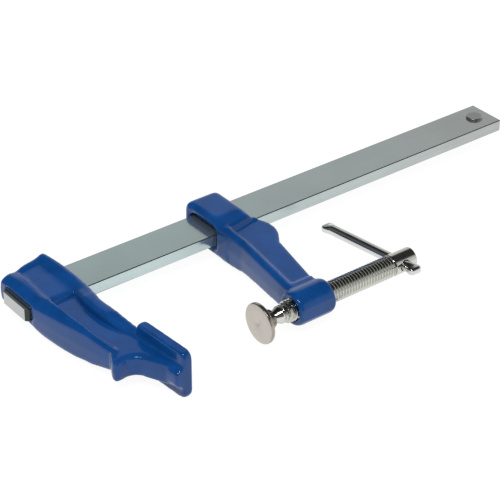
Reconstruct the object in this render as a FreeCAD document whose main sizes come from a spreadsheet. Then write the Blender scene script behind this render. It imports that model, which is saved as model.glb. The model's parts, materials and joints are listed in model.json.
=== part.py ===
import FreeCAD, Part
import Sketcher
import math
import os
import re
from FreeCAD import Placement, Rotation, Vector

# Quick release bar clamp, in millimetres and degrees.
#
# Every piece is drawn in the bar's own frame: x runs along the bar from its
# fixed-jaw end, y = 0 is the bar's centreline with the jaws reaching towards -y,
# and z = 0 is the plane halfway through the bar that also holds the screw's axis.
# Each piece's Placement then puts the origin of the part where the screw's axis
# meets the fixed jaw's clamping face: +X away from that face, +Z up.

SIZES = [
    ("bar_width", 31.75),
    ("bar_thickness", 9.525),
    ("bar_length", 442),
    ("bar_edge_chamfer", 0.5),
    ("throat", 101.6),
    ("casting_corner", 1.5),
    ("casting_draft", 4),
    ("recess_draft", 8),
    ("slot_side_gap", 0.4),
    ("fixed_slot_gap", 1),
    ("sliding_slot_gap", 0.6),
    # fixed jaw
    ("face_from_bar_end", 49.5),
    ("face_toe_in", 4),
    ("face_length", 49),
    ("face_tip_reach", 18.6),
    ("face_height", 35),
    ("face_corner", 5),
    ("face_plate", 6.5),
    ("face_edge_round", 1),
    ("face_root", 6),
    ("face_root_top", 11.5),
    ("face_root_foot", 4.5),
    ("fixed_head_top", 10),
    ("fixed_arm_top", 12),
    ("fixed_arm_bottom", 14),
    ("fixed_tip_top", 8),
    ("fixed_block_top", 8.6),
    ("fixed_web_top", 4.67),
    ("fixed_web_rise", 1.43),
    ("fixed_flange", 8.4),
    ("fixed_head_far_wall", 10.5),
    ("fixed_head_width", 45.6),
    ("fixed_head_setback", 3.5),
    ("head_slope_foot", 6.6),
    ("head_slope_run", 11),
    ("head_slope_rise", 4),
    ("fixed_waist_setback", 11.4),
    ("fixed_heel_setback", 16.9),
    ("heel_spur", 5.3),
    ("pin_diameter", 6),
    ("pin_wall", 1.1),
    ("pin_length", 15.3),
    ("pin_inset", 0.3),
    ("pin_end_gap", 0.3),
    ("pin_slit", 1.2),
    ("pin_from_bar_end", 24),
    ("pin_fit_gap", 0.03),
    # stop rivet
    ("rivet_from_bar_end", 13.5),
    ("rivet_head", 13),
    ("rivet_head_height", 1.7),
    ("rivet_head_round", 0.6),
    ("rivet_shank", 8),
    ("rivet_fit_gap", 0.03),
    # sliding jaw
    ("jaw_opening", 69.5),
    ("screw_reach", 28),
    ("sliding_head_setback", 12.5),
    ("sliding_head_width", 29),
    ("sliding_head_top", 12.5),
    ("sliding_head_far_wall", 6.5),
    ("sliding_head_skirt", 14),
    ("sliding_head_round", 4.5),
    ("sliding_arm_top", 9.5),
    ("sliding_web_top", 7.5),
    ("sliding_web_draft", 30),
    ("sliding_flange", 7),
    ("lobe_reach", 8.5),
    ("lobe_top", 9),
    ("mouth_height", 9.6),
    ("mouth_side_flare", 1),
    ("mouth_corner", 5),
    ("mouth_depth", 9),
    ("slot_corner", 0.5),
    ("boss_diameter", 23.5),
    ("boss_length", 31),
    ("boss_round", 2.5),
    # screw
    ("screw_diameter", 15.875),
    ("screw_fit_gap", 0.05),
    ("screw_thread_length", 92),
    ("screw_head_length", 19),
    ("screw_head_diameter", 16.6),
    ("screw_head_round", 1),
    ("screw_nose_length", 12),
    ("screw_nose_diameter", 13),
    ("screw_neck_diameter", 7.5),
    ("screw_neck_length", 7),
    ("ball_diameter", 10),
    # swivel pad
    ("pad_diameter", 29.6),
    ("pad_rim", 3),
    ("pad_rim_round", 0.6),
    ("pad_hub_base", 20),
    ("pad_hub_top", 14),
    ("pad_hub_length", 10),
    ("pad_mouth_diameter", 8.8),
    ("ball_fit_gap", 0.15),
    ("ball_centre_depth", 6.5),
    # tommy bar
    ("tommy_diameter", 8),
    ("tommy_length", 102),
    ("tommy_fit_gap", 0.25),
    ("tommy_from_head_end", 11),
    ("tommy_far_reach", 82),
    ("tommy_droop", 7.08),
    ("swage_length", 9.5),
    ("swage_width", 10.8),
    ("swage_thickness", 5.2),
]

doc = FreeCAD.newDocument("quick_release_bar_clamp")
sheet = doc.addObject("Spreadsheet::Sheet", "Sizes")
for row, (alias, number) in enumerate(SIZES, start=1):
    sheet.set(f"A{row}", alias.replace("_", " "))
    sheet.set(f"B{row}", str(number))
    sheet.setAlias(f"B{row}", alias)
doc.recompute()


def size(text):
    """An expression on the sheet: each [alias] gets its sheet's name."""
    return re.sub(r"\[(\w+)\]", r"Sizes.\1", text)


def value(text):
    """The number that an expression on the sheet gives now."""
    return float(sheet.evalExpression(size(text)))


def bind(thing, prop, text):
    """Ties a property of a feature to an expression on the sheet."""
    thing.setExpression(prop, size(text))


# Places that several pieces share, as expressions.
SCREW_Y = "(-[bar_width] / 2 - [throat])"
NEAR_EDGE = "(-[bar_width] / 2)"
FAR_EDGE = "([bar_width] / 2)"
PAD_FACE_X = "([face_from_bar_end] + [jaw_opening])"
RIVET_X = "([bar_length] - [rivet_from_bar_end])"
PIN_HOLE = "([pin_diameter] / 2 + [pin_fit_gap])"


def arm_y(share):
    """A place along a jaw's arm: 0 at the bar's near edge, 1 at the screw's axis."""
    return f"({NEAR_EDGE} - {share} * [throat])"


# Sketching


def new_body(name):
    body = doc.addObject("PartDesign::Body", name)
    body.Label = name
    bind(body, "Placement.Base.x", "-[face_from_bar_end]")
    bind(body, "Placement.Base.y", "[bar_width] / 2 + [throat]")
    return body


def sketch_on(body, plane, name, offset=("0", "0", "0"), turn=None):
    """A sketch on one of the body's origin planes; offset is along its own x, y and normal."""
    sketch = body.newObject("Sketcher::SketchObject", name)
    support = [f for f in body.Origin.OriginFeatures if f.Role == plane][0]
    sketch.AttachmentSupport = (support, [""])
    sketch.MapMode = "FlatFace"
    if turn:
        axis, angle = turn
        sketch.AttachmentOffset = Placement(Vector(0, 0, 0), Rotation(axis, 0))
        bind(sketch, "AttachmentOffset.Rotation.Axis.x", str(axis.x))
        bind(sketch, "AttachmentOffset.Rotation.Axis.y", str(axis.y))
        bind(sketch, "AttachmentOffset.Rotation.Axis.z", str(axis.z))
        bind(sketch, "AttachmentOffset.Rotation.Angle", angle)
    for way, text in zip("xyz", offset):
        if text != "0":
            bind(sketch, f"AttachmentOffset.Base.{way}", text)
    return sketch


def fix_point(sketch, geometry, end, place, name):
    """Dimensions a point from the sketch's origin by two expressions."""
    for kind, way, text in (("DistanceX", "x", place[0]), ("DistanceY", "y", place[1])):
        index = sketch.addConstraint(
            Sketcher.Constraint(kind, -1, 1, geometry, end, value(text))
        )
        sketch.renameConstraint(index, f"{name}_{way}")
        bind(sketch, f"Constraints.{name}_{way}", text)


def arc_through(start, middle, finish):
    """The anticlockwise arc through three points, and whether it begins at the first."""
    centre = Part.Circle(start, middle, finish).Center
    circle = Part.Circle(centre, Vector(0, 0, 1), centre.distanceToPoint(start))
    turns = []
    for point in (start, middle, finish):
        spoke = point - centre
        turns.append(math.atan2(spoke.y, spoke.x))
    first, between, last = turns
    full = 2 * math.pi
    forward = (between - first) % full < (last - first) % full
    if forward:
        return Part.ArcOfCircle(circle, first, first + (last - first) % full), True
    return Part.ArcOfCircle(circle, last, last + (first - last) % full), False


def draw_outline(sketch, points, name="p"):
    """A closed outline. A point is (x, y), or (x, y, "via") on an arc between its neighbours."""
    corners = [i for i, p in enumerate(points) if len(p) == 2]
    place = [Vector(value(p[0]), value(p[1]), 0) for p in points]
    edges = []
    for count, here in enumerate(corners):
        there = corners[(count + 1) % len(corners)]
        through = (here + 1) % len(points)
        if through == there:
            line = Part.LineSegment(place[here], place[there])
            edges.append((sketch.addGeometry(line), 1, 2))
            continue
        arc, forward = arc_through(place[here], place[through], place[there])
        index = sketch.addGeometry(arc)
        edges.append((index, 1, 2) if forward else (index, 2, 1))
        mark = sketch.addGeometry(Part.Point(place[through]), True)
        fix_point(sketch, mark, 1, points[through], f"{name}{through}")
        sketch.addConstraint(Sketcher.Constraint("PointOnObject", mark, 1, index))
    for count, here in enumerate(corners):
        index, start, _ = edges[count]
        before, _, finish = edges[count - 1]
        sketch.addConstraint(
            Sketcher.Constraint("Coincident", before, finish, index, start)
        )
        fix_point(sketch, index, start, points[here], f"{name}{here}")


def draw_circle(sketch, place, radius, name="c"):
    centre = Vector(value(place[0]), value(place[1]), 0)
    circle = sketch.addGeometry(Part.Circle(centre, Vector(0, 0, 1), value(radius)))
    fix_point(sketch, circle, 3, place, name)
    index = sketch.addConstraint(Sketcher.Constraint("Radius", circle, value(radius)))
    sketch.renameConstraint(index, f"{name}_r")
    bind(sketch, f"Constraints.{name}_r", radius)


def box_points(low, high):
    """The four corners of an upright rectangle."""
    return [(low[0], low[1]), (high[0], low[1]), (high[0], high[1]), (low[0], high[1])]


def rounded_box(low, high, radius):
    """An upright rectangle with round corners, each drawn as a quarter circle."""
    (x0, y0), (x1, y1) = low, high
    r, bulge = f"({radius})", f"({radius}) * (1 - sqrt(0.5))"
    return [
        (f"{x0} + {r}", y0),
        (f"{x1} - {r}", y0),
        (f"{x1} - {bulge}", f"{y0} + {bulge}", "via"),
        (x1, f"{y0} + {r}"),
        (x1, f"{y1} - {r}"),
        (f"{x1} - {bulge}", f"{y1} - {bulge}", "via"),
        (f"{x1} - {r}", y1),
        (f"{x0} + {r}", y1),
        (f"{x0} + {bulge}", f"{y1} - {bulge}", "via"),
        (x0, f"{y1} - {r}"),
        (x0, f"{y0} + {r}"),
        (f"{x0} + {bulge}", f"{y0} + {bulge}", "via"),
    ]


# Features


def extrude(body, kind, sketch, name, length=None, midplane=False, backwards=False):
    feature = body.newObject(f"PartDesign::{kind}", name)
    feature.Profile = sketch
    if length is None:
        feature.Type = "ThroughAll"
    else:
        bind(feature, "Length", length)
    feature.SideType = "Symmetric" if midplane else "One side"
    feature.Reversed = backwards
    sketch.Visibility = False
    return feature


def draft_pad(body, sketch, name, half, draft):
    """A pad that leaves its sketch both ways and narrows by the draft angle, as a casting does."""
    pad = body.newObject("PartDesign::Pad", name)
    pad.Profile = sketch
    pad.SideType = "Two sides"
    for side in ("", "2"):
        bind(pad, f"Length{side}", half)
        bind(pad, f"TaperAngle{side}", f"-{draft}")
    sketch.Visibility = False
    return pad


def revolve(body, kind, sketch, name, axis="H_Axis"):
    feature = body.newObject(f"PartDesign::{kind}", name)
    feature.Profile = sketch
    feature.ReferenceAxis = (sketch, [axis])
    feature.Angle = 360
    sketch.Visibility = False
    return feature


def cut(body, sketch, name, **options):
    """A Pocket that has to take material away."""
    doc.recompute()
    before = body.Shape.Volume
    feature = extrude(body, "Pocket", sketch, name, **options)
    doc.recompute()
    if not body.Shape.Volume < before - 1e-3:
        raise RuntimeError(f"{name} cuts nothing")
    return feature


def dress_edges(body, kind, name, amount, chosen):
    """A Fillet or Chamfer on the edges that the test picks by middle and faces' normals."""
    doc.recompute()
    tip = body.Tip
    names = []
    for index, edge in enumerate(tip.Shape.Edges, start=1):
        middle = edge.valueAt((edge.FirstParameter + edge.LastParameter) / 2)
        normals = []
        for face in tip.Shape.ancestorsOfType(edge, Part.Face):
            normals.append(face.normalAt(*face.Surface.parameter(middle)))
        if len(normals) == 2 and chosen(middle, normals):
            names.append(f"Edge{index}")
    if not names:
        raise RuntimeError(f"{name} finds no edge to dress")
    feature = body.newObject(f"PartDesign::{kind}", name)
    feature.Base = (tip, names)
    bind(feature, "Radius" if kind == "Fillet" else "Size", amount)
    doc.recompute()
    if "Invalid" in feature.State:
        raise RuntimeError(f"{name} can't be made")
    return feature


def is_rim(normals):
    """True where a level face meets a standing one."""
    level = sorted(abs(normal.z) for normal in normals)
    return level[0] < 0.5 and level[1] > 0.8


def is_corner(normals):
    """True where two standing or drafted walls meet at an angle."""
    first, second = normals
    standing = abs(first.z) < 0.25 and abs(second.z) < 0.25
    return standing and first.getAngle(second) > 0.1


# Bar and its rivet


def build_bar():
    body = new_body("bar")
    plan = sketch_on(body, "XY_Plane", "bar_plan")
    draw_outline(plan, box_points(("0", NEAR_EDGE), ("[bar_length]", FAR_EDGE)))
    extrude(body, "Pad", plan, "bar_blank", "[bar_thickness]", midplane=True)
    holes = sketch_on(body, "XY_Plane", "bar_holes")
    rivet_radius = "[rivet_shank] / 2 + [rivet_fit_gap]"
    draw_circle(holes, (RIVET_X, "0"), rivet_radius, "rivet")
    draw_circle(holes, ("[pin_from_bar_end]", "0"), PIN_HOLE, "pin")
    cut(body, holes, "bar_drilling", midplane=True)
    near, far = value("[bar_edge_chamfer]"), value("[bar_length] - [bar_edge_chamfer]")
    dress_edges(
        body,
        "Chamfer",
        "bar_broken_edges",
        "[bar_edge_chamfer]",
        lambda middle, normals: near < middle.x < far
        and max(abs(normal.y) for normal in normals) > 0.99,
    )
    return body


def build_stop_rivet():
    """A headed rivet through the bar: its two heads stop the sliding jaw."""
    body = new_body("stop_rivet")
    half = sketch_on(body, "XZ_Plane", "rivet_half", (RIVET_X, "0", "0"))
    seat = "[bar_thickness] / 2"
    crown = "([bar_thickness] / 2 + [rivet_head_height])"
    rim = "([rivet_head] / 2)"
    edge = "([rivet_head] / 2 - [rivet_head_round])"
    bevel = "([bar_thickness] / 2 + [rivet_head_height] - [rivet_head_round])"
    shank = "[rivet_shank] / 2"
    draw_outline(
        half,
        [
            ("0", f"-{crown}"),
            (edge, f"-{crown}"),
            (rim, f"-{bevel}"),
            (rim, f"-{seat}"),
            (shank, f"-{seat}"),
            (shank, seat),
            (rim, seat),
            (rim, bevel),
            (edge, crown),
            ("0", crown),
        ],
    )
    revolve(body, "Revolution", half, "rivet_turned", "V_Axis")
    return body


# Fixed jaw


def build_fixed_jaw():
    """An I-section casting: a head round the bar, a curved arm and a tall face plate."""
    body = new_body("fixed_jaw")
    front = "[fixed_head_width]"
    far = f"({FAR_EDGE} + [fixed_head_far_wall])"
    tip = f"({SCREW_Y} - [face_tip_reach] + 1)"
    tip_x = "([face_from_bar_end] - [face_plate])"
    heel = "([fixed_heel_setback] - [heel_spur])"
    plan = sketch_on(body, "XY_Plane", "jaw_plan")
    draw_outline(
        plan,
        [
            ("[fixed_head_setback]", f"{far} - 3"),
            (f"{front} - 3", f"{far} + 4"),
            (f"{front} + 0.5", "2", "via"),
            (f"{front} - 3.2", arm_y(0.26)),
            (f"{front} - 2", arm_y(0.47), "via"),
            (f"{front} + 0.5", arm_y(0.7)),
            (f"{tip_x} + 4", tip),
            (f"{tip_x} - 1", tip),
            (f"{tip_x} - 13", arm_y(0.94)),
            (f"{tip_x} - 18", arm_y(0.89), "via"),
            (f"{tip_x} - 24.5", arm_y(0.882)),
            (heel, arm_y(0.89)),
            (heel, arm_y(0.85)),
            ("[fixed_heel_setback]", arm_y(0.755)),
            ("[fixed_waist_setback]", arm_y(0.49), "via"),
            ("[fixed_head_setback]", f"{NEAR_EDGE} + 2"),
        ],
    )
    draft_pad(body, plan, "jaw_blank", "[fixed_arm_bottom]", "[casting_draft]")
    dress_edges(
        body,
        "Fillet",
        "jaw_corners",
        "[casting_corner]",
        lambda middle, normals: is_corner(normals),
    )
    side = sketch_on(body, "YZ_Plane", "jaw_side_trim")
    for sign, crest, name in (("", "top", "up"), ("-", "bottom", "down")):
        draw_outline(
            side,
            [
                (f"{far} + 20", f"{sign}[fixed_head_top]"),
                (f"{NEAR_EDGE} + 3", f"{sign}[fixed_head_top]"),
                (arm_y(0.2), f"{sign}[fixed_arm_{crest}]"),
                (arm_y(0.45), f"{sign}[fixed_arm_{crest}]"),
                (arm_y(0.74), f"{sign}[fixed_tip_top]"),
                (f"{tip} - 10", f"{sign}[fixed_tip_top]"),
                (f"{tip} - 10", f"{sign}2 * [fixed_arm_bottom]"),
                (f"{far} + 20", f"{sign}2 * [fixed_arm_bottom]"),
            ],
            name,
        )
    cut(body, side, "jaw_side_trimmed", midplane=True)
    # the head leans back from the bar's end
    slope = sketch_on(body, "XZ_Plane", "head_slope")
    ridge = "([fixed_head_setback] + [head_slope_run])"
    for sign, name in (("", "up"), ("-", "down")):
        draw_outline(
            slope,
            [
                ("-1", f"{sign}[head_slope_foot]"),
                ("[fixed_head_setback]", f"{sign}[head_slope_foot]"),
                (
                    "[fixed_head_setback] + 0.43 * [head_slope_run]",
                    f"{sign}([head_slope_foot] + 0.6 * [head_slope_rise])",
                    "via",
                ),
                (ridge, f"{sign}([head_slope_foot] + [head_slope_rise])"),
                (ridge, f"{sign}2 * [fixed_arm_bottom]"),
                ("-1", f"{sign}2 * [fixed_arm_bottom]"),
            ],
            name,
        )
    cut(body, slope, "head_sloped", midplane=True)
    # a shallow recess leaves the block over the bar, a deeper one the web between the flanges
    inner = f"({front} - [fixed_flange])"
    for sign, up, name in (("", True, "top"), ("-", False, "bottom")):
        shallow = sketch_on(
            body, "XY_Plane", f"block_{name}", ("0", "0", f"{sign}[fixed_block_top]")
        )
        draw_outline(
            shallow,
            [
                (f"{ridge} + 3.5", f"{far} - 5"),
                (f"{inner} - 1.2", f"{far} - 3"),
                (inner, f"{NEAR_EDGE} + 2"),
                (f"{inner} - 1.4", arm_y(0.09)),
                (f"{ridge} + 1.7", arm_y(0.09)),
                (f"{ridge} + 1.1", f"{NEAR_EDGE} + 2"),
            ],
        )
        recess(body, shallow, f"block_{name}_face", up)
        tilt = "-[fixed_web_rise]" if up else "[fixed_web_rise]"
        deep = sketch_on(
            body,
            "XY_Plane",
            f"web_{name}",
            ("0", "0", f"{sign}[fixed_web_top]"),
            (Vector(1, 0, 0), tilt),
        )
        draw_outline(
            deep,
            [
                (f"{inner} - 1.6", arm_y(0.055)),
                (f"{inner} - 5.4", arm_y(0.34), "via"),
                (f"{inner} - 2.3", arm_y(0.6)),
                (f"{inner} + 2", arm_y(0.7)),
                (f"{front} + 0.4", f"{tip} - 6"),
                (f"{front} - 15.6", f"{tip} - 6"),
                (f"{heel} - 3.6", arm_y(0.86)),
                (f"{heel} + 9.4", arm_y(0.77)),
                (f"{ridge} + 1.4", arm_y(0.3), "via"),
                (f"{ridge} + 1.9", arm_y(0.055)),
            ],
        )
        recess(body, deep, f"web_{name}_face", up)
    add_face_plate(body)
    slot = sketch_on(body, "YZ_Plane", "fixed_slot_section")
    side_edge = "([bar_width] / 2 + [slot_side_gap])"
    seat, ceiling = "[bar_thickness] / 2", "[bar_thickness] / 2 + [fixed_slot_gap]"
    draw_outline(slot, box_points((f"-{side_edge}", f"-{seat}"), (side_edge, ceiling)))
    cut(body, slot, "fixed_slot", midplane=True)
    hole = sketch_on(
        body, "XY_Plane", "pin_hole_section", ("0", "0", "-[fixed_block_top]")
    )
    draw_circle(hole, ("[pin_from_bar_end]", "0"), PIN_HOLE)
    depth = "[pin_inset] + [pin_length] + [pin_end_gap]"
    cut(body, hole, "pin_hole", length=depth, backwards=True)
    return body


def recess(body, sketch, name, up):
    """A pocket out to the casting's top or bottom, with drafted walls."""
    feature = cut(body, sketch, name, length="2 * [fixed_arm_bottom]", backwards=up)
    bind(feature, "TaperAngle", "[recess_draft]")
    doc.recompute()


def add_face_plate(body):
    """The clamping plate, toed in, with hollow roots where it grows out of the arm."""
    along, across = "[face_tip_reach] * cos([face_toe_in])", "[face_tip_reach] * sin([face_toe_in])"
    section = sketch_on(
        body,
        "XZ_Plane",
        "plate_section",
        (f"[face_from_bar_end] + {across}", "0", f"{along} - {SCREW_Y}"),
        (Vector(0, 1, 0), "[face_toe_in]"),
    )
    half = "([face_height] / 2)"
    root = "([face_root_top] + [face_root_foot]) / 2 - 0.5"
    draw_outline(
        section,
        [
            ("0", f"-{half}"),
            ("0", half),
            ("-[face_plate]", half),
            ("-[face_plate]", "[face_root_top]"),
            ("-[face_plate] - 0.25 * [face_root]", root, "via"),
            ("-[face_plate] - [face_root]", "[face_root_foot]"),
            ("-[face_plate] - [face_root]", "-[face_root_foot]"),
            ("-[face_plate] - 0.25 * [face_root]", f"-({root})", "via"),
            ("-[face_plate]", "-[face_root_top]"),
            ("-[face_plate]", f"-{half}"),
        ],
    )
    extrude(body, "Pad", section, "face_plate", "[face_length]", backwards=True)
    top = value(half)
    dress_edges(
        body,
        "Fillet",
        "plate_corners",
        "[face_corner]",
        lambda middle, normals: abs(abs(middle.z) - top) < 0.01
        and max(abs(normal.y) for normal in normals) > 0.9,
    )
    face_x, screw_y = value("[face_from_bar_end]"), value(SCREW_Y)
    lean = math.tan(math.radians(value("[face_toe_in]")))
    dress_edges(
        body,
        "Chamfer",
        "plate_front_edges",
        "[face_edge_round]",
        lambda middle, normals: middle.x + (middle.y - screw_y) * lean > face_x - 0.2
        and middle.y < screw_y + value("[face_length]"),
    )


def build_jaw_pin():
    """A slit spring pin, driven up from the underside, that ties the fixed jaw to the bar."""
    body = new_body("jaw_pin")
    foot = ("0", "0", "-[fixed_block_top] + [pin_inset]")
    ring = sketch_on(body, "XY_Plane", "pin_ring", foot)
    place = ("[pin_from_bar_end]", "0")
    draw_circle(ring, place, "[pin_diameter] / 2", "outer")
    draw_circle(ring, place, "[pin_diameter] / 2 - [pin_wall]", "inner")
    extrude(body, "Pad", ring, "pin_tube", "[pin_length]")
    slit = sketch_on(body, "XY_Plane", "pin_slit_section")
    draw_outline(
        slit,
        box_points(
            ("[pin_from_bar_end]", "-[pin_slit] / 2"),
            ("[pin_from_bar_end] + [pin_diameter]", "[pin_slit] / 2"),
        ),
    )
    cut(body, slit, "pin_slit_cut", midplane=True)
    return body


# Sliding jaw. Its places are counted from the boss's front face, BOSS_X.

BOSS_X = "([face_from_bar_end] + [jaw_opening] + [screw_reach])"
HEAD_LEFT = f"({BOSS_X} + [sliding_head_setback])"
HEAD_RIGHT = f"({HEAD_LEFT} + [sliding_head_width])"


def build_sliding_jaw():
    """A casting that rides on the bar: a head with the slot, a tapering arm and the screw's boss."""
    body = new_body("sliding_jaw")
    skirt = f"({NEAR_EDGE} - [sliding_head_skirt])"
    far = f"({FAR_EDGE} + [sliding_head_far_wall])"
    head = sketch_on(body, "XY_Plane", "head_plan")
    draw_outline(head, box_points((HEAD_LEFT, skirt), (HEAD_RIGHT, far)))
    extrude(body, "Pad", head, "head_block", "2 * [sliding_head_top]", midplane=True)
    skirt_y = value(skirt)
    dress_edges(
        body,
        "Fillet",
        "head_rounded",
        "[sliding_head_round]",
        lambda middle, normals: middle.y > skirt_y + 1,
    )
    arm = sketch_on(body, "XY_Plane", "arm_plan")
    draw_outline(
        arm,
        [
            (f"{HEAD_LEFT} + 0.4", f"{NEAR_EDGE} - 5"),
            (f"{HEAD_RIGHT} - 0.6", f"{NEAR_EDGE} - 5"),
            (f"{HEAD_RIGHT} - 1.1", arm_y(0.4)),
            (f"{BOSS_X} + [boss_length] - 3.1", arm_y(0.94)),
            (f"{BOSS_X} + 4.6", arm_y(0.94)),
            (f"{BOSS_X} + 5.4", arm_y(0.82)),
            (f"{HEAD_LEFT} - 0.1", arm_y(0.3)),
        ],
    )
    draft_pad(body, arm, "arm_blank", "[sliding_head_top]", "[casting_draft]")
    lobe = sketch_on(body, "XY_Plane", "lobe_plan")
    draw_outline(
        lobe,
        [
            (f"{HEAD_RIGHT} - 6", f"{NEAR_EDGE} - 1.4"),
            (f"{HEAD_RIGHT} + 2.5", f"{NEAR_EDGE} - 1.4"),
            (f"{HEAD_RIGHT} + [lobe_reach]", arm_y(0.13), "via"),
            (f"{HEAD_RIGHT} + [lobe_reach] - 3", arm_y(0.29)),
            (f"{HEAD_RIGHT} - 1.5", arm_y(0.39)),
            (f"{HEAD_RIGHT} - 10", arm_y(0.39)),
        ],
    )
    draft_pad(body, lobe, "lobe", "[lobe_top]", "[casting_draft]")
    side = sketch_on(body, "YZ_Plane", "slider_side_trim")
    for sign, name in (("", "up"), ("-", "down")):
        draw_outline(
            side,
            [
                (f"{NEAR_EDGE} - 8", f"{sign}([sliding_head_top] + 0.1)"),
                (arm_y(0.3), f"{sign}([sliding_arm_top] + 1.5)"),
                (arm_y(0.85), f"{sign}[sliding_arm_top]"),
                (arm_y(1.3), f"{sign}[sliding_arm_top]"),
                (arm_y(1.3), f"{sign}2 * [sliding_head_top]"),
                (f"{NEAR_EDGE} - 8", f"{sign}2 * [sliding_head_top]"),
            ],
            name,
        )
    cut(body, side, "slider_side_trimmed", midplane=True)
    # the web lies lower than the left flange and runs out through the arm's right edge
    for sign, up, name in (("", True, "top"), ("-", False, "bottom")):
        web = sketch_on(
            body, "XY_Plane", f"slider_web_{name}", ("0", "0", f"{sign}[sliding_web_top]")
        )
        draw_outline(
            web,
            [
                (f"{HEAD_LEFT} + [sliding_flange] + 2", arm_y(0.1)),
                (f"{HEAD_RIGHT} - 1", arm_y(0.06)),
                (f"{HEAD_RIGHT} + 12", arm_y(0.06)),
                (f"{HEAD_RIGHT} + 12", arm_y(0.86)),
                (f"{BOSS_X} + [sliding_flange] + 5", arm_y(0.86)),
                (f"{HEAD_LEFT} + [sliding_flange] + 1", arm_y(0.3)),
            ],
        )
        feature = cut(
            body,
            web,
            f"slider_web_{name}_face",
            length="2 * [sliding_head_top]",
            backwards=up,
        )
        bind(feature, "TaperAngle", "[sliding_web_draft]")
    boss = sketch_on(body, "XY_Plane", "boss_half", ("0", SCREW_Y, "0"))
    rim = "([boss_diameter] / 2)"
    bulge = "([boss_round] * (1 - sqrt(0.5)))"
    end = f"({BOSS_X} + [boss_length])"
    draw_outline(
        boss,
        [
            (BOSS_X, "0"),
            (BOSS_X, f"{rim} - [boss_round]"),
            (f"{BOSS_X} + {bulge}", f"{rim} - {bulge}"),
            (f"{BOSS_X} + [boss_round]", rim),
            (f"{end} - [boss_round]", rim),
            (f"{end} - {bulge}", f"{rim} - {bulge}"),
            (end, f"{rim} - [boss_round]"),
            (end, "0"),
        ],
    )
    revolve(body, "Revolution", boss, "boss")
    slot = sketch_on(body, "YZ_Plane", "slider_slot_section")
    side_edge = "([bar_width] / 2 + [slot_side_gap])"
    top_edge = "([bar_thickness] / 2 + [sliding_slot_gap])"
    draw_outline(
        slot, box_points((f"-{side_edge}", f"-{top_edge}"), (side_edge, top_edge))
    )
    cut(body, slot, "slider_slot", midplane=True)
    # the slot opens out to an arched mouth on the side of the fixed jaw
    mouth_side = f"({side_edge} + [mouth_side_flare])"
    rings = []
    for name, place, wide, high, corner in (
        ("mouth_rim", f"{HEAD_LEFT} - 0.1", mouth_side, "[mouth_height]", "[mouth_corner]"),
        ("mouth_throat", f"{HEAD_LEFT} + [mouth_depth]", side_edge, top_edge, "[slot_corner]"),
    ):
        ring = sketch_on(body, "YZ_Plane", name, ("0", "0", place))
        low, high_corner = (f"-{wide}", f"-{high}"), (wide, high)
        draw_outline(ring, rounded_box(low, high_corner, corner))
        rings.append(ring)
    doc.recompute()
    before = body.Shape.Volume
    mouth = body.newObject("PartDesign::SubtractiveLoft", "slot_mouth")
    mouth.Profile = rings[0]
    mouth.Sections = [rings[1]]
    mouth.Ruled = True
    doc.recompute()
    if not body.Shape.Volume < before - 1:
        raise RuntimeError("slot_mouth cuts nothing")
    bore = sketch_on(body, "YZ_Plane", "screw_bore_section")
    draw_circle(bore, (SCREW_Y, "0"), "[screw_diameter] / 2 + [screw_fit_gap]")
    cut(body, bore, "screw_bore", midplane=True)
    return body


# Screw, swivel pad and tommy bar. The screw's places are counted from the pad's face.

BALL_X = f"({PAD_FACE_X} + [ball_centre_depth])"
NOSE_X = f"({BALL_X} + [screw_neck_length])"
THREAD_X = f"({NOSE_X} + [screw_nose_length])"
HEAD_X = f"({THREAD_X} + [screw_thread_length])"
SCREW_END = f"({HEAD_X} + [screw_head_length])"
TOMMY_X = f"({SCREW_END} - [tommy_from_head_end])"


def build_screw():
    """Ball, neck, plain nose, threaded length and a round head drilled for the tommy bar."""
    body = new_body("screw")
    half = sketch_on(body, "XY_Plane", "screw_half", ("0", SCREW_Y, "0"))
    ball = "([ball_diameter] / 2)"
    neck = "([screw_neck_diameter] / 2)"
    meet = f"(sqrt({ball} ^ 2 - {neck} ^ 2))"
    thread = "([screw_diameter] / 2)"
    head = "([screw_head_diameter] / 2)"
    nose = "([screw_nose_diameter] / 2)"
    draw_outline(
        half,
        [
            (f"{BALL_X} - {ball}", "0"),
            (BALL_X, ball, "via"),
            (f"{BALL_X} + {meet}", neck),
            (NOSE_X, neck),
            (f"{NOSE_X} + 1.2", nose),
            (f"{THREAD_X} - 1.5", nose),
            (THREAD_X, thread),
            (HEAD_X, thread),
            (HEAD_X, head),
            (f"{SCREW_END} - [screw_head_round]", head),
            (SCREW_END, f"{head} - [screw_head_round]"),
            (SCREW_END, "0"),
        ],
    )
    revolve(body, "Revolution", half, "screw_turned")
    hole = sketch_on(
        body, "XZ_Plane", "tommy_hole_section", turn=(Vector(1, 0, 0), "-[tommy_droop]")
    )
    bind(hole, "AttachmentOffset.Base.x", TOMMY_X)
    bind(hole, "AttachmentOffset.Base.z", f"-{SCREW_Y}")
    draw_circle(hole, ("0", "0"), "[tommy_diameter] / 2 + [tommy_fit_gap]")
    cut(body, hole, "tommy_hole", midplane=True)
    return body


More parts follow.
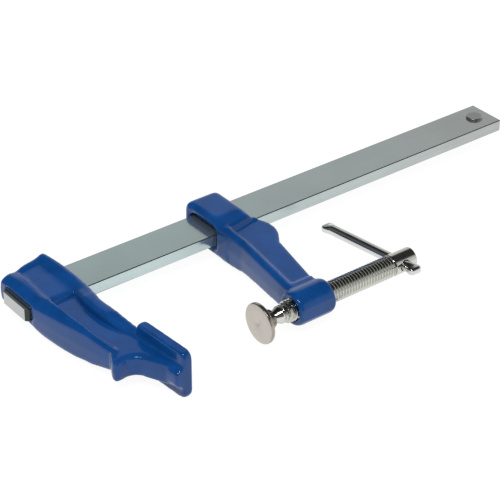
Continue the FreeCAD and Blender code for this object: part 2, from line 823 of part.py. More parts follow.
def build_swivel_pad():
    """A round pad whose hub is closed over the screw's ball."""
    body = new_body("swivel_pad")
    half = sketch_on(body, "XY_Plane", "pad_half", ("0", SCREW_Y, "0"))
    rim = "([pad_diameter] / 2)"
    mouth = "([pad_mouth_diameter] / 2)"
    socket = "([ball_diameter] / 2 + [ball_fit_gap])"
    open_x = f"({BALL_X} + [ball_diameter] / 3)"
    hub_end = f"({PAD_FACE_X} + [pad_rim] + [pad_hub_length])"
    draw_outline(
        half,
        [
            (PAD_FACE_X, "0"),
            (PAD_FACE_X, f"{rim} - [pad_rim_round]"),
            (f"{PAD_FACE_X} + [pad_rim_round]", rim),
            (f"{PAD_FACE_X} + [pad_rim]", rim),
            (f"{PAD_FACE_X} + [pad_rim]", "[pad_hub_base] / 2"),
            (hub_end, "[pad_hub_top] / 2"),
            (hub_end, mouth),
            (open_x, mouth),
            (BALL_X, socket),
            (f"{BALL_X} - 0.6 * {socket}", socket),
            (f"{BALL_X} - 1.1 * {socket}", "0"),
        ],
    )
    revolve(body, "Revolution", half, "pad_turned")
    return body


def build_tommy_bar():
    """A round rod with both ends hammered flat and wider than the hole it slides in."""
    body = doc.addObject("PartDesign::Body", "tommy_bar")
    body.Label = "tommy_bar"
    body.Placement = Placement(Vector(0, 0, 0), Rotation(Vector(1, 0, 0), -1))
    bind(body, "Placement.Rotation.Angle", "-[tommy_droop]")
    bind(body, "Placement.Base.x", f"{TOMMY_X} - [face_from_bar_end]")
    far_end = "[tommy_far_reach]"
    near_end = "([tommy_length] - [tommy_far_reach])"
    inside = "([swage_length] * 0.6)"
    section = sketch_on(
        body, "XZ_Plane", "rod_section", ("0", "0", f"-({far_end} - {inside})")
    )
    draw_circle(section, ("0", "0"), "[tommy_diameter] / 2")
    extrude(body, "Pad", section, "rod", f"[tommy_length] - 2 * {inside}")
    flats = sketch_on(body, "YZ_Plane", "swage_flats")
    flat = "([swage_thickness] / 2)"
    for sign, end, name in (("", far_end, "far"), ("-", near_end, "near")):
        for side, face in (("", "top"), ("-", "bottom")):
            draw_outline(
                flats,
                [
                    (f"{sign}({end} - [swage_length])", f"{side}[tommy_diameter]"),
                    (f"{sign}({end} - [swage_length])", f"{side}[tommy_diameter] / 2"),
                    (f"{sign}({end} - {inside})", f"{side}{flat}"),
                    (f"{sign}{end}", f"{side}{flat}"),
                    (f"{sign}{end}", f"{side}[tommy_diameter]"),
                ],
                f"{name}_{face}",
            )
    cut(body, flats, "swage_flattened", midplane=True)
    rod, wide = "([tommy_diameter] / 2 - 0.6)", "([swage_width] / 2)"
    for sign, end, name in (("", far_end, "far"), ("-", near_end, "near")):
        paddle = sketch_on(body, "XY_Plane", f"{name}_swage_plan")
        draw_outline(
            paddle,
            [
                (f"-{rod}", f"{sign}({end} - [swage_length])"),
                (f"-{wide}", f"{sign}({end} - 0.45 * [swage_length])"),
                ("0", f"{sign}{end}", "via"),
                (wide, f"{sign}({end} - 0.45 * [swage_length])"),
                (rod, f"{sign}({end} - [swage_length])"),
            ],
        )
        extrude(body, "Pad", paddle, f"{name}_swage", "[swage_thickness]", midplane=True)
    return body


def build_everything():
    return [
        build_bar(),
        build_stop_rivet(),
        build_fixed_jaw(),
        build_sliding_jaw(),
        build_screw(),
        build_swivel_pad(),
        build_tommy_bar(),
        build_jaw_pin(),
    ]


pieces = build_everything()
doc.recompute()

for thing in doc.Objects:
    if "Invalid" in thing.State or "Error" in thing.State:
        raise RuntimeError(f"{thing.Label} did not build: {thing.State}")

os.makedirs("parts", exist_ok=True)
for piece in pieces:
    shape = piece.Shape
    if shape.isNull() or not shape.isValid():
        raise RuntimeError(f"{piece.Label} has no valid shape")
    shape.exportStep(f"parts/{piece.Label}.step")
    box = shape.BoundBox
    print(
        f"{piece.Label:16s} solids {len(shape.Solids)} volume {shape.Volume:10.1f}",
        f"x {box.XMin:.1f}..{box.XMax:.1f} y {box.YMin:.1f}..{box.YMax:.1f}",
        f"z {box.ZMin:.1f}..{box.ZMax:.1f}",
    )
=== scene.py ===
import json
import math

import bmesh
import bpy
from mathutils import Matrix, Vector

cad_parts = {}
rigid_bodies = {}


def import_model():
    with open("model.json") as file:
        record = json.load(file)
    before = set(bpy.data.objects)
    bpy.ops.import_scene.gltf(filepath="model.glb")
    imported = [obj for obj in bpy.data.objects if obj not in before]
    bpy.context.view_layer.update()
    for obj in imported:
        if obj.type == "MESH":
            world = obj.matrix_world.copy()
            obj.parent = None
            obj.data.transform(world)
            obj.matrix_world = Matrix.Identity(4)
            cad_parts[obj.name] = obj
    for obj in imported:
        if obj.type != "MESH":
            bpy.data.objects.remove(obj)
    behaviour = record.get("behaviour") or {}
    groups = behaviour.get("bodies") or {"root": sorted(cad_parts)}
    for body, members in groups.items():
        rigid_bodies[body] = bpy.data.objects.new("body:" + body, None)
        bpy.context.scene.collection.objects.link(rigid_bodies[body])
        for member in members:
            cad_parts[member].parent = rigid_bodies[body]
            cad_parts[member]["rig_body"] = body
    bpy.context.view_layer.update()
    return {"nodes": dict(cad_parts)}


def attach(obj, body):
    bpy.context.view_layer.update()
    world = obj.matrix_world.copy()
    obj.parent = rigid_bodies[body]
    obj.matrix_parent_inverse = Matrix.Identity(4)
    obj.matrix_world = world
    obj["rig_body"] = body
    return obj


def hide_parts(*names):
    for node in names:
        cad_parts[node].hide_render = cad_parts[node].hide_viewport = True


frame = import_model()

MM = 0.001
FULL_TURN = 2 * math.pi
WELD = 1e-6
THREAD_WELD = 2e-6

# Places and sizes of the clamp, in millimetres, in the part's own frame: the origin is
# where the screw's axis meets the fixed jaw's face, and the screw lies along +X.

BAR_START = -49.5
BAR_END = 392.5
BAR_Y = 117.475
END_CORNER = 2.4

PAD_FACE_X = 69.5
PAD_RADIUS = 14.8
PAD_ROUND = 0.8
PAD_THICKNESS = 3.0
PAD_END_X = PAD_FACE_X + 11.3
PAD_MOUTH = 4.4

SCREW_RADIUS = 15.875 / 2
THREAD_PITCH = 2.54
THREAD_DEPTH = 1.35
BALL_X = PAD_FACE_X + 6.5
BALL_RADIUS = 5.0
NECK_RADIUS = 3.75
NOSE_X = BALL_X + 7
NOSE_RADIUS = 6.4
MARKS_X = NOSE_X + 4.5
MARKS_WEAR = 1.3
THREAD_X = NOSE_X + 9
HEAD_X = NOSE_X + 104
HEAD_ROUND = 0.7
SCREW_END = HEAD_X + 19

TOMMY_X = SCREW_END - 11
TOMMY_HOLE = 4.25
TOMMY_RADIUS = 4.0
TOMMY_DROOP = math.radians(7.08)
TOMMY_FAR = 82.0
TOMMY_NEAR = -20.0
SWAGE_LENGTH = 9.5
SWAGE_WIDTH = 10.8
SWAGE_THICKNESS = 5.2


def new_object(name, data):
    """An object of the scene that holds a mesh, a lamp or a camera."""
    thing = bpy.data.objects.new(name, data)
    bpy.context.scene.collection.objects.link(thing)
    return thing


# Camera: the photographed view, solved from the bar's edges

CAMERA_AZIMUTH = math.radians(-37.778)
CAMERA_ELEVATION = math.radians(32.558)
CAMERA_ROLL = math.radians(0.197)
CAMERA_DISTANCE = 1323.27
CAMERA_AIM = Vector((125.965, 82.329, -4.7625))
CAMERA_LENS = 132.78
CAMERA_SENSOR = 36


def make_camera():
    back = Vector(
        (
            math.sin(CAMERA_AZIMUTH) * math.cos(CAMERA_ELEVATION),
            -math.cos(CAMERA_AZIMUTH) * math.cos(CAMERA_ELEVATION),
            math.sin(CAMERA_ELEVATION),
        )
    )
    level = Vector((0, 0, 1)).cross(back).normalized()
    upright = back.cross(level)
    right = math.cos(CAMERA_ROLL) * level + math.sin(CAMERA_ROLL) * upright
    up = -math.sin(CAMERA_ROLL) * level + math.cos(CAMERA_ROLL) * upright
    turn = Matrix((right, up, back)).transposed().to_4x4()
    data = bpy.data.cameras.new("photo_view")
    data.sensor_width = CAMERA_SENSOR
    data.lens = CAMERA_LENS
    camera = new_object("photo_view", data)
    place = (CAMERA_AIM + back * CAMERA_DISTANCE) * MM
    camera.matrix_world = Matrix.Translation(place) @ turn
    bpy.context.scene.camera = camera


# Shader writing

NOISE_LOW, NOISE_HIGH = 0.3, 0.7
MIX_FACTOR, MIX_FIRST, MIX_SECOND, MIX_COLOUR = 0, 6, 7, 2


class Socket:
    """A node's output, with arithmetic that adds Math nodes."""

    def __init__(self, graph, output):
        self.graph = graph
        self.output = output

    def maths(self, operation, other=None, swapped=False):
        sides = {0: self} if other is None else {0: self, 1: other}
        if swapped:
            sides = {0: other, 1: self}
        return self.graph.node("Math", {"operation": operation}, sides)

    def __add__(self, other):
        return self.maths("ADD", other)

    def __sub__(self, other):
        return self.maths("SUBTRACT", other)

    def __rsub__(self, other):
        return self.maths("SUBTRACT", other, True)

    def __mul__(self, other):
        return self.maths("MULTIPLY", other)

    __radd__ = __add__
    __rmul__ = __mul__


class Graph:
    """A material's or the world's node tree."""

    def __init__(self, owner):
        owner.use_nodes = True
        self.tree = owner.node_tree
        self.tree.nodes.clear()

    def node(self, kind, settings=None, inputs=None, output=0):
        """Adds a ShaderNode; a ramp's stops, (place, colour), go under "stops"."""
        made = self.tree.nodes.new(f"ShaderNode{kind}")
        for key, setting in (settings or {}).items():
            if key == "stops":
                self.set_stops(made.color_ramp, setting)
            else:
                setattr(made, key, setting)
        for key, given in (inputs or {}).items():
            if isinstance(given, Socket):
                self.tree.links.new(given.output, made.inputs[key])
            else:
                made.inputs[key].default_value = given
        return Socket(self, made.outputs[output]) if made.outputs else None

    @staticmethod
    def set_stops(ramp, stops):
        while len(ramp.elements) < len(stops):
            ramp.elements.new(0.5)
        for element, (place, colour) in zip(ramp.elements, stops):
            element.position = place
            element.color = colour if len(colour) == 4 else (*colour, 1)

    def mix(self, factor, first, second):
        sides = {MIX_FACTOR: factor, MIX_FIRST: first, MIX_SECOND: second}
        return self.node("Mix", {"data_type": "RGBA"}, sides, MIX_COLOUR)

    def scaled(self, colour, factor):
        sides = {"Vector": colour, "Scale": factor}
        return self.node("VectorMath", {"operation": "SCALE"}, sides)

    def part_of(self, vector, axis):
        return self.node("SeparateXYZ", None, {"Vector": vector}, axis)

    def noise(self, place, scale, detail=4, stretch=(1, 1, 1)):
        """Noise in spots of about 1 / scale metres; a small stretch draws them out."""
        spread = self.node("Mapping", None, {"Vector": place, "Scale": stretch})
        return self.node(
            "TexNoise", None, {"Vector": spread, "Scale": scale, "Detail": detail}
        )

    def map_range(self, value, low, high, to_low, to_high):
        span = {"From Min": low, "From Max": high, "To Min": to_low, "To Max": to_high}
        return self.node("MapRange", None, {"Value": value, **span})

    def spread(self, noise, to_low, to_high):
        """A noise's usual span, drawn out to run between two values."""
        return self.map_range(noise, NOISE_LOW, NOISE_HIGH, to_low, to_high)


def new_material(name):
    material = bpy.data.materials.new(name)
    graph = Graph(material)
    place = graph.node("TexCoord", output="Object")
    return material, graph, place


def close_material(graph, **inputs):
    """Ends a graph in a Principled BSDF."""
    named = {key.replace("_", " "): given for key, given in inputs.items()}
    shader = graph.node("BsdfPrincipled", None, named)
    graph.node("OutputMaterial", None, {"Surface": shader})


def bump(graph, height, strength, distance):
    settings = {"Height": height, "Strength": strength, "Distance": distance}
    return graph.node("Bump", None, settings)


def blue_paint():
    """Glossy royal blue paint over a cast skin."""
    material, graph, place = new_material("blue_paint")
    cloud = graph.noise(place, 60, 3)
    tone = graph.map_range(cloud, 0.35, 0.65, 0, 1)
    deep, royal = (0.002, 0.039, 0.158, 1), (0.003, 0.050, 0.198, 1)
    skin = graph.noise(place, 260, 2)
    grain = graph.noise(place, 1300, 2)
    close_material(
        graph,
        Base_Color=graph.mix(tone, deep, royal),
        Roughness=graph.spread(cloud, 0.12, 0.17),
        Specular_IOR_Level=0.27,
        Normal=bump(graph, skin + grain * 0.25, 0.1, 0.0004),
        Coat_Weight=0.16,
        Coat_Roughness=0.04,
    )
    return material


def plated_steel(name, colour, roughness, along=(1, 1, 1), marks=0.05, metallic=1.0):
    """Zinc over drawn or turned steel: fine marks run where along is small."""
    material, graph, place = new_material(name)
    streak = graph.noise(place, 900, 4, along)
    cloud = graph.noise(place, 35, 3)
    dim = [0.88 * channel for channel in colour]
    tint = graph.mix(graph.spread(streak, 0, 1), (*dim, 1), (*colour, 1))
    close_material(
        graph,
        Base_Color=graph.scaled(tint, graph.spread(cloud, 0.94, 1.04)),
        Metallic=metallic,
        Roughness=graph.spread(streak, roughness - 0.03, roughness + 0.04),
        Normal=bump(graph, streak, marks, 0.0001),
    )
    return material


def pad_satin():
    """A turned button: a pale worn face, with browner zinc on its edge and hub."""
    material, graph, place = new_material("pad_satin")
    cloud = graph.noise(place, 120, 4)
    grain = graph.noise(place, 900, 3)
    forward = graph.part_of(graph.node("TexCoord", output="Normal"), "X")
    face = graph.map_range(forward, -0.95, -0.8, 1, 0)
    worn = graph.mix(cloud, (0.55, 0.505, 0.45, 1), (0.6, 0.555, 0.505, 1))
    edge = graph.mix(cloud, (0.3, 0.255, 0.2, 1), (0.46, 0.41, 0.35, 1))
    close_material(
        graph,
        Base_Color=graph.mix(face, edge, worn),
        Metallic=1.0,
        Roughness=graph.map_range(face + cloud * 0.2, 0, 1.2, 0.24, 0.44),
        Normal=bump(graph, grain, 0.08, 0.0001),
    )
    return material


# Where the fixed jaw's painted shadow and reflection on the bar's stub is full, and
# where it is gone.
JAW_SHADE_FULL_X = BAR_START + 3.3
JAW_SHADE_GONE_X = BAR_START + 4.1


def bar_zinc():
    """Zinc on the drawn bar: pale flats, painted shade on its rounded edges, and the
    fixed jaw's painted shadow and reflection on the stub beside it.
    """
    material, graph, place = new_material("bar_zinc")
    streak = graph.noise(place, 700, 4, (0.02, 1, 1))
    cloud = graph.noise(place, 22, 3)
    along = graph.part_of(place, "X")
    reach = graph.map_range(along, BAR_START * MM, BAR_END * MM, 0, 1)
    pale = graph.mix(reach, (0.55, 0.67, 0.67, 1), (0.43, 0.445, 0.43, 1))
    toned = graph.scaled(pale, graph.map_range(cloud + streak, 0.6, 1.4, 0.92, 1.06))
    facing = graph.node("TexCoord", output="Normal")
    ends, sides, flats = (graph.part_of(facing, axis) for axis in "XYZ")
    ends, sides, flats = ends * ends, sides * sides, flats * flats
    # Painted shade: faces whose normal leans between two axes, the bar's rounded edges,
    # are darkened almost to black.
    slant = (sides * (flats + ends) + ends * flats) * 4
    # Painted shadow and reflection of the fixed jaw on the stub's top and sides, but
    # not on its end face.
    painted_jaw_shade = graph.map_range(along, JAW_SHADE_FULL_X * MM, JAW_SHADE_GONE_X * MM, 0.8, 0)
    # dark holds both painted shades: the rounded edges' and the fixed jaw's.
    dark = graph.map_range(slant, 0.4, 0.8, 0, 1) + painted_jaw_shade * (1 - ends)
    zinc = graph.mix(ends, toned, (0.46, 0.465, 0.46, 1))
    close_material(
        graph,
        Base_Color=graph.mix(dark, zinc, (0.05, 0.055, 0.05, 1)),
        Metallic=0.9,
        Roughness=graph.spread(streak, 0.13, 0.19),
        Normal=bump(graph, streak, 0.03, 0.0001),
    )
    return material


# Mesh helpers


def frame_body(node):
    return frame["nodes"][node]["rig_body"]


def held(value, low, high):
    return min(max(value, low), high)


def ease(value, start, end):
    """0 at start to 1 at end, gently; start may lie above end."""
    share = held((value - start) / (end - start), 0.0, 1.0)
    return share * share * (3 - 2 * share)


def bell(value, centre, spread):
    return math.exp(-0.5 * ((value - centre) / spread) ** 2)


def add_piece(name, mesh, body, material, stands_for=(), crease=35):
    """Puts a finished mesh in the scene; edges over crease degrees stay sharp."""
    piece = new_object(name, mesh)
    mesh.materials.clear()
    mesh.materials.append(material)
    for face in mesh.polygons:
        face.use_smooth = True
    mesh.set_sharp_from_angle(angle=math.radians(crease))
    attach(piece, body)
    if stands_for:
        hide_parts(*stands_for)
    return piece


def mesh_of(bm, name):
    mesh = bpy.data.meshes.new(name)
    bmesh.ops.recalc_face_normals(bm, faces=bm.faces)
    bm.to_mesh(mesh)
    bm.free()
    return mesh


def apply_modifiers(mesh, name, steps):
    """A mesh put through modifiers, each (type, settings), on a passing object."""
    carrier = new_object(f"{name}_carrier", mesh)
    for kind, settings in steps:
        modifier = carrier.modifiers.new(kind.lower(), kind)
        for key, setting in settings.items():
            setattr(modifier, key, setting)
    bpy.context.view_layer.update()
    graph = bpy.context.evaluated_depsgraph_get()
    done = bpy.data.meshes.new_from_object(carrier.evaluated_get(graph))
    done.name = name
    bpy.data.objects.remove(carrier)
    bpy.data.meshes.remove(mesh)
    return done


def merged_copy(node):
    """A copy of a CAD node's mesh with its loose triangles joined."""
    bm = bmesh.new()
    bm.from_mesh(frame["nodes"][node].data)
    bmesh.ops.remove_doubles(bm, verts=bm.verts, dist=WELD)
    return bm


# Castings: the jaws' solids with the soft edges that sand casting and paint leave

CASTING_VOXEL = 0.62
CASTING_SMOOTHING = 34
CASTING_HALF_HEIGHT = 17.5
CASTING_CORE = 5
PAINT_BUILD = 0.95
SLOT_HALF_WIDTH = 16.5
SLOT_HALF_HEIGHT = 6.5
BORE_RADIUS = SCREW_RADIUS + 1.5
BORE_START_X = 90
FACE_START_X = -2
FACE_LEAN = 0.8

RIM_X, RIM_SPREAD, RIM_HEIGHT, RIM_Y = -7, 3.6, 1.9, (84, 112)
DIP_X, DIP_WIDTH, DIP_Y, DIP_LENGTH, DIP_DEPTH = -33, 3.5, 146, 8, 2.0
BELLY_SWELL, BELLY_X, BELLY_HEAD_Y, BELLY_FOOT_Y = 0.42, (-32, -43), (113, 90), (34, 60)
HEAD_RISE, HEAD_RISE_Y = 1.1, (96, 110)
HEAD_HANG, HEAD_HANG_Y = 1.4, (60, 80)


def fixed_jaw_form(x, y, z):
    """The head's raised throat rim and dipped far edge, and the belly below."""
    if z > CASTING_CORE:
        rim = bell(x, RIM_X, RIM_SPREAD) * ease(y, *RIM_Y)
        dip = bell(x, DIP_X, DIP_WIDTH) * bell(y, DIP_Y, DIP_LENGTH)
        return z + ease(z, CASTING_CORE, 7) * (RIM_HEIGHT * rim - DIP_DEPTH * dip)
    if z < -CASTING_CORE:
        belly = ease(x, *BELLY_X) * ease(y, *BELLY_HEAD_Y) * ease(y, *BELLY_FOOT_Y)
        return z * (1 + BELLY_SWELL * belly * ease(z, -CASTING_CORE, -6.5))
    return z


def sliding_jaw_form(x, y, z):
    """The head stands a little higher and hangs a little lower than the arm."""
    if z < -CASTING_CORE:
        return z - HEAD_HANG * ease(z, -CASTING_CORE, -9) * ease(y, *HEAD_HANG_Y)
    return z + HEAD_RISE * ease(z, 7, 10) * ease(y, *HEAD_RISE_Y)


def keeps_fit(place, normal):
    """True inside the bar's slot, in the screw's bore and on the clamping face."""
    x, y, z = place / MM
    in_slot = abs(y - BAR_Y) < SLOT_HALF_WIDTH and abs(z) < SLOT_HALF_HEIGHT
    in_bore = math.hypot(y, z) < BORE_RADIUS and x > BORE_START_X
    return in_slot or in_bore or (x > FACE_START_X and normal.x > FACE_LEAN)


def cast_jaw(name, node, form, material):
    """A CAD jaw with its skin swollen by the paint, given its form and smoothed."""
    blank = mesh_of(merged_copy(node), f"{name}_blank")
    low = [min(vert.co[axis] for vert in blank.vertices) for axis in range(3)]
    high = [max(vert.co[axis] for vert in blank.vertices) for axis in range(3)]
    low[2], high[2] = -CASTING_HALF_HEIGHT * MM, CASTING_HALF_HEIGHT * MM
    remesh = ("REMESH", {"mode": "VOXEL", "voxel_size": CASTING_VOXEL * MM})
    rough = apply_modifiers(blank, f"{name}_rough", [remesh])
    swollen = []
    for vert in rough.vertices:
        place = vert.co.copy()
        if not keeps_fit(place, vert.normal):
            place += vert.normal * PAINT_BUILD * MM
        place.z = form(*(place / MM)) * MM
        swollen.append(place)
    for vert, place in zip(rough.vertices, swollen):
        vert.co = place
    smooth = ("SMOOTH", {"factor": 0.5, "iterations": CASTING_SMOOTHING})
    mesh = apply_modifiers(rough, name, [smooth])
    for vert in mesh.vertices:
        vert.co = [held(vert.co[axis], low[axis], high[axis]) for axis in range(3)]
    return add_piece(name, mesh, frame_body(node), material, [node], 80)


# Bar


def make_bar(material):
    """The drawn bar, with the upright corners of its clamped end broken."""
    bm = merged_copy("bar")
    low = min(vert.co.y for vert in bm.verts)
    high = max(vert.co.y for vert in bm.verts)
    for side, way in ((low, -1), (high, 1)):
        cut = bmesh.ops.bisect_plane(
            bm,
            geom=bm.verts[:] + bm.edges[:] + bm.faces[:],
            plane_co=((BAR_START + END_CORNER) * MM, side, 0),
            plane_no=(-1, way, 0),
            clear_outer=True,
        )
        rim = [item for item in cut["geom_cut"] if isinstance(item, bmesh.types.BMEdge)]
        bmesh.ops.holes_fill(bm, edges=rim)
    mesh, body = mesh_of(bm, "drawn_bar"), frame_body("bar")
    return add_piece("drawn_bar", mesh, body, material, ["bar"], 20)


# Screw: turned nose and head, and a rolled thread wound by a stepped spin

THREAD_STEPS = 56
THREAD_FADE = 1.2
THREAD_SHAPE = [(0.0, 0.0), (0.16, 0.0), (0.3, 0.5), (0.4, 0.93), (0.5, 1.0)]
THREAD_SHAPE += [(0.62, 0.93), (0.72, 0.5), (0.86, 0.0), (1.0, 0.0)]
HOLE_HALF_LENGTH = 7.0
HOLE_SINK_REACH = 12
HOLE_SINK_RADIUS = 8.2


def spin_profile(points, steps=72):
    """A closed solid turned about the screw's axis from (x, radius) points in mm."""
    bm = bmesh.new()
    ring = [bm.verts.new((x * MM, 0, radius * MM)) for x, radius in points]
    edges = [bm.edges.new(pair) for pair in zip(ring, ring[1:])]
    bmesh.ops.spin(
        bm,
        geom=ring + edges,
        cent=(0, 0, 0),
        axis=(1, 0, 0),
        angle=FULL_TURN,
        steps=steps,
        use_merge=True,
    )
    bmesh.ops.remove_doubles(bm, verts=bm.verts, dist=WELD)
    return bm


def arc_points(centre, radius, start, end, count):
    """Points on an arc between two angles in degrees, measured from +x to +radius."""
    points = []
    for index in range(count + 1):
        angle = math.radians(start + (end - start) * index / count)
        along, out = radius * math.cos(angle), radius * math.sin(angle)
        points.append((centre[0] + along, centre[1] + out))
    return points


def thread_mesh():
    """One pitch wound along the screw, worn over the nose and flat at both ends."""
    root = SCREW_RADIUS - THREAD_DEPTH
    turns = math.ceil((HEAD_X - MARKS_X) / THREAD_PITCH) + 2
    start = MARKS_X - THREAD_PITCH
    bm = bmesh.new()
    ring = []
    for share, rise in THREAD_SHAPE:
        x, radius = start + share * THREAD_PITCH, root + THREAD_DEPTH * rise
        ring.append(bm.verts.new((x * MM, 0, radius * MM)))
    edges = [bm.edges.new(pair) for pair in zip(ring, ring[1:])]
    bmesh.ops.spin(
        bm,
        geom=ring + edges,
        cent=(0, 0, 0),
        axis=(1, 0, 0),
        dvec=(THREAD_PITCH / THREAD_STEPS * MM, 0, 0),
        angle=FULL_TURN * turns,
        steps=THREAD_STEPS * turns,
    )
    bmesh.ops.remove_doubles(bm, verts=bm.verts, dist=THREAD_WELD)
    for vert in bm.verts:
        x = vert.co.x / MM
        share = held(min(x - MARKS_X, HEAD_X - x) / THREAD_FADE, 0.0, 1.0)
        radius = math.hypot(vert.co.y, vert.co.z) / MM
        worn = MARKS_WEAR * held(THREAD_X - x, 0.0, 1.0)
        wanted = root + (radius - root) * share - worn
        vert.co.y *= wanted / radius
        vert.co.z *= wanted / radius
        vert.co.x = held(x, MARKS_X, HEAD_X) * MM
    bmesh.ops.remove_doubles(bm, verts=bm.verts, dist=THREAD_WELD)
    bmesh.ops.dissolve_degenerate(bm, edges=bm.edges, dist=WELD)
    return bm


def join_meshes(bms, name):
    whole = bmesh.new()
    for bm in bms:
        part = mesh_of(bm, "part")
        whole.from_mesh(part)
        bpy.data.meshes.remove(part)
    mesh = bpy.data.meshes.new(name)
    whole.to_mesh(mesh)
    whole.free()
    return mesh


def make_head(name):
    """The screw's plain head with its countersunk cross hole."""
    radius = SCREW_RADIUS
    outline = [(HEAD_X - 0.01, 0), (HEAD_X, radius - 0.3), (HEAD_X + 0.3, radius)]
    outline += [(SCREW_END - HEAD_ROUND, radius), (SCREW_END, radius - HEAD_ROUND)]
    outline += [(SCREW_END, 0)]
    blank = mesh_of(spin_profile(outline, 96), f"{name}_blank")
    sink = (HOLE_SINK_REACH, HOLE_SINK_RADIUS)
    near_half = [(-sink[0], 0), (-sink[0], sink[1]), (-HOLE_HALF_LENGTH, TOMMY_HOLE)]
    far_half = [(-x, width) for x, width in reversed(near_half)]
    tool = spin_profile(near_half + far_half, 48)
    place = Matrix.Translation((TOMMY_X * MM, 0, 0))
    turn = Matrix.Rotation(-TOMMY_DROOP, 4, "X") @ Matrix.Rotation(math.pi / 2, 4, "Z")
    bmesh.ops.transform(tool, matrix=place @ turn, verts=tool.verts)
    cutter = new_object("hole_cutter", mesh_of(tool, "hole_cutter"))
    settings = {"operation": "DIFFERENCE", "solver": "EXACT", "object": cutter}
    mesh = apply_modifiers(blank, name, [("BOOLEAN", settings)])
    bpy.data.objects.remove(cutter)
    bm = bmesh.new()
    bm.from_mesh(mesh)
    bpy.data.meshes.remove(mesh)
    return bm


def make_screw(material):
    """A ball on its neck, the nose, the thread and the head, as one mesh."""
    ball_end = math.degrees(math.asin(NECK_RADIUS / BALL_RADIUS))
    worn_root = SCREW_RADIUS - THREAD_DEPTH - MARKS_WEAR
    nose = arc_points((BALL_X, 0), BALL_RADIUS, 180, ball_end, 14)
    nose[0] = (nose[0][0], 0)
    nose += [(NOSE_X - 1.6, NECK_RADIUS)]
    nose += [(MARKS_X - 0.7, NOSE_RADIUS), (MARKS_X - 0.4, NOSE_RADIUS)]
    nose += [(MARKS_X, worn_root), (MARKS_X + 0.5, 0)]
    parts = [spin_profile(nose), thread_mesh(), make_head("screw_head")]
    mesh, node = join_meshes(parts, "clamp_screw"), "screw"
    return add_piece("clamp_screw", mesh, node, material, [node], 20)


# Swivel pad: a turned button closed over the ball


def make_pad(material):
    """Turned from a dished face over a rounded rim and a tapered hub to the socket."""
    edge = PAD_RADIUS - PAD_ROUND
    back = PAD_FACE_X + PAD_THICKNESS
    profile = [(PAD_FACE_X + 0.45, 0), (PAD_FACE_X + 0.35, 1.2), (PAD_FACE_X, 1.9)]
    profile += [(PAD_FACE_X, edge)]
    profile += arc_points((PAD_FACE_X + PAD_ROUND, edge), PAD_ROUND, 180, 90, 5)[1:]
    profile += arc_points((back - PAD_ROUND, edge), PAD_ROUND, 90, 0, 5)
    profile += [(back, 10.6), (back + 0.4, 10.0)]
    profile += [(PAD_END_X - 0.4, 6.4), (PAD_END_X, 5.9)]
    profile += [(PAD_END_X, PAD_MOUTH), (PAD_END_X - 2.1, PAD_MOUTH)]
    profile += [(BALL_X, BALL_RADIUS + 0.15), (back + 0.2, 4.0), (PAD_FACE_X + 1.6, 0)]
    mesh = mesh_of(spin_profile(profile, 96), "pad_button")
    node = "swivel_pad"
    return add_piece("pad_button", mesh, node, material, [node])


# Tommy bar: a rod whose ends were hammered flat, so they can't slip out of the head


ROD_SIDES = 32
SWAGE_STATIONS = [0.0, 0.02, 0.06, 0.13, 0.24, 0.4, 0.58, 0.75, 0.9, 1.0, 1.15]
SWAGE_TIP = 0.45
SWAGE_SQUARENESS = 0.55


def rod_ring(bm, y, share):
    """A ring's edges at y; share is 0 at the rod's tip and 1 where it is round."""
    tip = math.sqrt(max(0.0, 1 - (1 - min(share, SWAGE_TIP) / SWAGE_TIP) ** 2))
    drawn = ease(share, 0.3, 1)
    wide = (SWAGE_WIDTH / 2) * (1 - drawn) + TOMMY_RADIUS * drawn
    thick = (SWAGE_THICKNESS / 2) * (1 - drawn) + TOMMY_RADIUS * drawn
    wide *= 0.25 + 0.75 * tip
    thick *= 0.35 + 0.65 * min(1.0, tip * 1.2)
    power = 1 - SWAGE_SQUARENESS * (1 - drawn)
    ring = bmesh.ops.create_circle(bm, segments=ROD_SIDES, radius=1.0)["verts"]
    for vert in ring:
        across = math.copysign(abs(vert.co.x) ** power, vert.co.x)
        up = math.copysign(abs(vert.co.y) ** power, vert.co.y)
        vert.co = (across * wide * MM, y * MM, up * thick * MM)
    return list({edge for vert in ring for edge in vert.link_edges})


def make_tommy(material):
    """Rings along the rod, each squeezed from a circle to the flattened end's oval."""
    near, far = (
        [(end + way * share * SWAGE_LENGTH, share) for share in SWAGE_STATIONS]
        for end, way in ((TOMMY_NEAR, 1), (TOMMY_FAR, -1))
    )
    bm = bmesh.new()
    rings = [rod_ring(bm, y, share) for y, share in near + far[::-1]]
    for first, second in zip(rings, rings[1:]):
        bmesh.ops.bridge_loops(bm, edges=first + second)
    for ring in (rings[0], rings[-1]):
        bmesh.ops.edgeloop_fill(bm, edges=ring)
    place = Matrix.Translation((TOMMY_X * MM, 0, 0))
    turn = Matrix.Rotation(-TOMMY_DROOP, 4, "X")
    bmesh.ops.transform(bm, matrix=place @ turn, verts=bm.verts)
    mesh = mesh_of(bm, "tommy_rod")
    node = "tommy_bar"
    return add_piece("tommy_rod", mesh, node, material, [node])


# Floor, lamp and the studio around

FLOOR_Z = -17.6
FLOOR_REACH = 6.0
LAMP_PLACE = Vector((-0.6, -0.43, 1.3))
LAMP_AIM = Vector((0.11, 0.04, 0))


def make_floor():
    bm = bmesh.new()
    bmesh.ops.create_grid(bm, x_segments=1, y_segments=1, size=FLOOR_REACH)
    bmesh.ops.translate(bm, verts=bm.verts, vec=(0, 0, FLOOR_Z * MM))
    floor = new_object("floor", mesh_of(bm, "floor"))
    material, graph, _ = new_material("floor_white")
    camera_ray = graph.node("LightPath", output="Is Camera Ray")
    glossy_ray = graph.node("LightPath", output="Is Glossy Ray")
    diffuse = graph.node("BsdfDiffuse", None, {"Color": (0.9, 0.9, 0.9, 1)})
    shine = graph.node("Emission", None, {"Color": (1, 1, 1, 1), "Strength": 1.06})
    share = camera_ray * 0.88 + glossy_ray * 0.7
    mixed = graph.node("MixShader", None, {"Fac": share, 1: diffuse, 2: shine})
    graph.node("OutputMaterial", None, {"Surface": mixed})
    floor.data.materials.append(material)


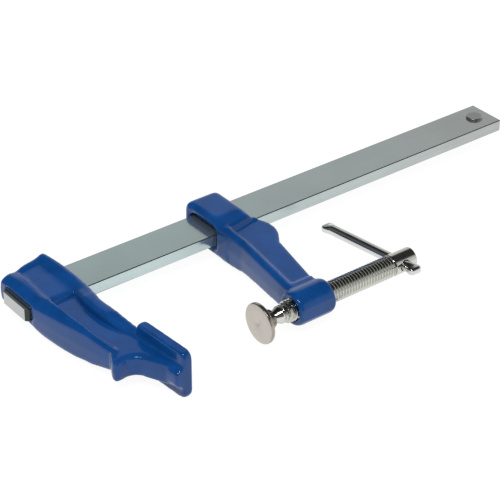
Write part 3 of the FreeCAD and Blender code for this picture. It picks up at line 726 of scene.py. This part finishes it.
def make_world():
    """Even soft light; mirrored, a room bright low on one side and dark overhead."""
    world = bpy.data.worlds.new("studio")
    bpy.context.scene.world = world
    graph = Graph(world)
    direction = graph.node("TexCoord", output="Generated")
    height = graph.part_of(direction, "Z")
    stops = [
        (0.0, (0.86, 0.88, 0.87)),
        (0.35, (0.76, 0.78, 0.77)),
        (0.49, (0.6, 0.62, 0.62)),
        (0.555, (0.5, 0.52, 0.52)),
        (0.6, (0.1, 0.1, 0.1)),
        (0.72, (0.03, 0.03, 0.03)),
    ]
    room = graph.node("ValToRGB", {"stops": stops}, {"Fac": height})
    open_side = graph.map_range(graph.part_of(direction, "X"), -0.1, 0.3, 0.16, 1)
    mirrored = graph.scaled(room, open_side)
    overhead = graph.map_range(height, 0, 1, 0.52, 1.18)
    soft = graph.scaled((0.96, 1, 1.03), overhead)
    glossy_ray = graph.node("LightPath", output="Is Glossy Ray")
    colour = graph.mix(glossy_ray, soft, mirrored)
    light = graph.node("Background", None, {"Color": colour, "Strength": 1.0})
    graph.node("OutputWorld", None, {"Surface": light})


def make_lamp():
    """A slim strip lamp high on the near side, for the small glints on edges."""
    data = bpy.data.lights.new("strip_lamp", "AREA")
    data.shape = "RECTANGLE"
    data.size = 0.7
    data.size_y = 0.12
    data.energy = 9
    lamp = new_object("strip_lamp", data)
    turn = (LAMP_AIM - LAMP_PLACE).to_track_quat("-Z", "Y").to_matrix().to_4x4()
    lamp.matrix_world = Matrix.Translation(LAMP_PLACE) @ turn


def dress_frame():
    """Finishes for the CAD nodes that stay in view."""
    small_steel = plated_steel("rivet_zinc", (0.36, 0.37, 0.35), 0.25, metallic=0.9)
    for node in ("stop_rivet", "jaw_pin"):
        thing = frame["nodes"][node]
        thing.data.materials.clear()
        thing.data.materials.append(small_steel)


def main():
    make_camera()
    make_world()
    make_lamp()
    make_floor()
    paint = blue_paint()
    dress_frame()
    make_bar(bar_zinc())
    cast_jaw("fixed_jaw_casting", "fixed_jaw", fixed_jaw_form, paint)
    cast_jaw("sliding_jaw_casting", "sliding_jaw", sliding_jaw_form, paint)
    make_screw(plated_steel("screw_zinc", (0.66, 0.66, 0.61), 0.11, (1, 1, 1), 0.04))
    make_pad(pad_satin())
    make_tommy(plated_steel("rod_bright", (0.68, 0.68, 0.66), 0.09, (1, 0.05, 1), 0.02))
    bpy.context.scene.view_settings.view_transform = "Standard"


main()
